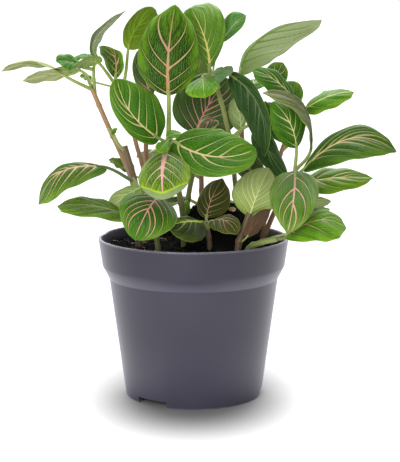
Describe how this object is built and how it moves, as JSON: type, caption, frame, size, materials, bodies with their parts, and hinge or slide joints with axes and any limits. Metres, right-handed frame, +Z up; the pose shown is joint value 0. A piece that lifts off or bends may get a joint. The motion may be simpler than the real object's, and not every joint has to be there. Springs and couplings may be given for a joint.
{
  "type": "potted nerve plant",
  "caption": "Tall bushy nerve plant with large pink- and cream-veined green leaves on thin stems, standing in soil in a dark grey plastic nursery pot.",
  "frame": {"origin": "middle of the object's footprint, on the surface that the pot stands on; the pot's axis is the Z axis", "axes": "+Z up the pot's axis; -Y towards the viewer of the picture, +X to the viewer's right"},
  "size_m": [0.2447, 0.1514, 0.2473],
  "materials": {
    "pot_plastic": "satin",
    "potting_soil": "matte",
    "leaf": "satin",
    "woody_stem": "matte"
  },
  "bodies": {
    "root": {"pot": "pot_plastic", "soil": "potting_soil", "stem_front": "leaf", "stem_top": "leaf", "stem_middle": "leaf", "stem_far_left": "leaf", "stem_left_back": "leaf", "stem_upper_right": "leaf", "stem_right": "leaf", "stem_low_right": "leaf", "stem_low_front_right": "leaf", "stem_low_centre": "leaf", "stem_low_left": "leaf", "stem_pruned": "woody_stem", "stem_back_left": "leaf", "stem_back_centre": "leaf", "stem_back_right": "leaf"}
  },
  "joints": []
}
